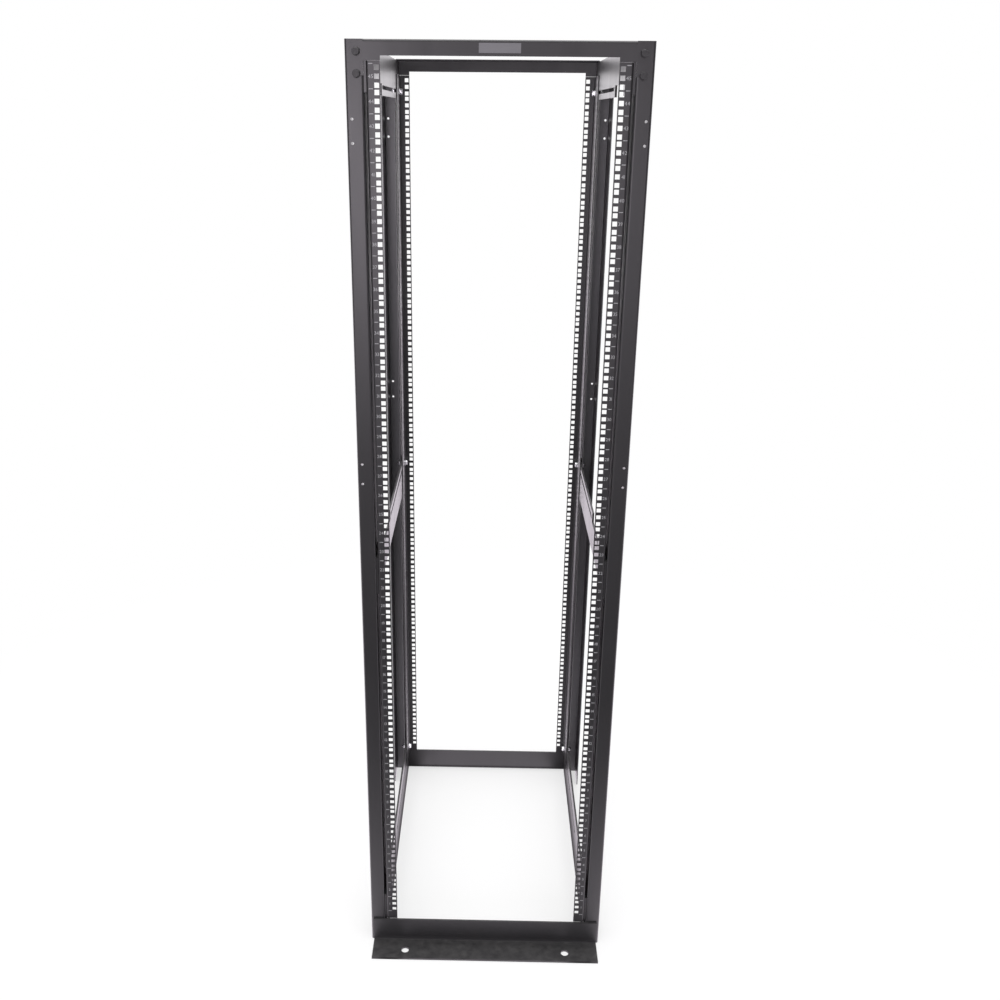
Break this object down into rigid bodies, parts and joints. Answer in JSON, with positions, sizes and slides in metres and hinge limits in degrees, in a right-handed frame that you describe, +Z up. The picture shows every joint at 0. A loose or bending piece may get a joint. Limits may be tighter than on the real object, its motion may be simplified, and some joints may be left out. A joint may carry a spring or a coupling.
{
  "type": "open frame rack",
  "caption": "Open frame equipment rack: channel posts, square-holed mounting rails, top beams, slotted side braces and floor angles with anchor holes.",
  "frame": {"origin": "on the floor, in the middle of the frame", "axes": "+Z up, +X to the right and -Y towards the viewer who faces the front of the rack"},
  "size_m": [0.5842, 0.8892, 2.1336],
  "materials": {
    "posts": "satin black powder coat",
    "rails": "satin black powder coat",
    "top_beams": "satin black powder coat",
    "base_angles": "satin black powder coat",
    "braces": "satin black powder coat",
    "name_plate": "satin grey, bare"
  },
  "bodies": {
    "root": {"front_left_post": "posts", "front_left_rail": "rails", "front_right_post": "posts", "front_right_rail": "rails", "front_top_beam": "top_beams", "front_base_angle": "base_angles", "rear_left_post": "posts", "rear_left_rail": "rails", "rear_right_post": "posts", "rear_right_rail": "rails", "rear_top_beam": "top_beams", "rear_base_angle": "base_angles", "left_top_brace": "braces", "left_mid_brace": "braces", "left_bottom_brace": "braces", "right_top_brace": "braces", "right_mid_brace": "braces", "right_bottom_brace": "braces", "name_plate": "name_plate"}
  },
  "joints": []
}
